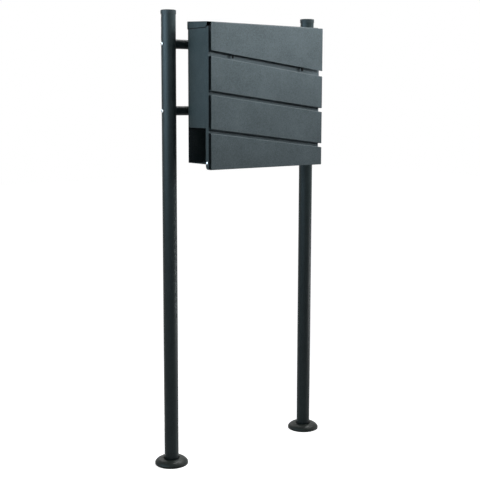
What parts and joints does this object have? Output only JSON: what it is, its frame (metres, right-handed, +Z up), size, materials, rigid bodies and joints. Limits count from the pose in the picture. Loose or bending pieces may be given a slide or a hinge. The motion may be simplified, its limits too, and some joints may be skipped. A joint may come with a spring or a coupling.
{
  "type": "free-standing letterbox",
  "caption": "Sheet-metal letterbox with slanted front slats, letter flap and open newspaper compartment, carried between round posts on domed feet.",
  "frame": {"origin": "on the floor, at the centre of the footprint's bounding box", "axes": "+Z up, +Y from the door to the back, +X to the right as seen from the front"},
  "size_m": [0.555, 0.1656, 1.2],
  "materials": {
    "powder_coat": "fine-textured anthracite powder coat",
    "black_plastic": "matt moulded plastic",
    "zinc_plated_steel": "zinc-plated",
    "bright_steel": "bright stainless",
    "rubber": "matt black rubber"
  },
  "bodies": {
    "stand_and_housing": {"left_post": "powder_coat", "right_post": "powder_coat", "left_post_cap": "black_plastic", "right_post_cap": "black_plastic", "left_foot_plate": "powder_coat", "right_foot_plate": "powder_coat", "upper_crossbar": "powder_coat", "lower_crossbar": "powder_coat", "crossbar_inserts": "zinc_plated_steel", "crossbar_bolts": "bright_steel", "housing_spacers": "black_plastic", "housing_bolts": "bright_steel", "housing_nuts": "bright_steel", "housing_shell": "powder_coat", "lid": "powder_coat", "letter_shelf": "powder_coat", "newspaper_floor": "powder_coat", "door_hinge_pins": "bright_steel"},
    "door": {"door_plate": "powder_coat", "upper_slat": "powder_coat", "middle_slat": "powder_coat", "lower_slat": "powder_coat", "slat_rivets": "powder_coat", "flap_hinge_brackets": "zinc_plated_steel", "flap_hinge_rod": "zinc_plated_steel", "hinge_rod_caps": "zinc_plated_steel", "flap_buffers": "rubber", "lock_body": "bright_steel", "lock_nut": "zinc_plated_steel"},
    "flap": {"letter_flap": "powder_coat", "flap_hinge_ears": "zinc_plated_steel"},
    "lock_core": {"lock_plug": "bright_steel", "lock_cam": "zinc_plated_steel", "lock_cam_screw": "zinc_plated_steel"},
    "left_cover": {"left_foot_cover": "powder_coat"},
    "right_cover": {"right_foot_cover": "powder_coat"}
  },
  "joints": [
    {"name": "door_hinge", "type": "hinge", "parent": "stand_and_housing", "child": "door", "pos_m": [0, -0.06295, 0.8135], "axis": [1, 0, 0], "range_deg": [0, 95]},
    {"name": "flap_hinge", "type": "hinge", "parent": "door", "child": "flap", "pos_m": [0, -0.07585, 1.156], "axis": [-1, 0, 0], "range_deg": [0, 80]},
    {"name": "lock_turn", "type": "hinge", "parent": "door", "child": "lock_core", "pos_m": [0.14, -0.06975, 1.078], "axis": [0, -1, 0], "range_deg": [0, 90]},
    {"name": "left_cover_slide", "type": "slide", "parent": "stand_and_housing", "child": "left_cover", "axis": [0, 0, 1], "range_m": [0, 0.75]},
    {"name": "right_cover_slide", "type": "slide", "parent": "stand_and_housing", "child": "right_cover", "axis": [0, 0, 1], "range_m": [0, 0.75]}
  ]
}
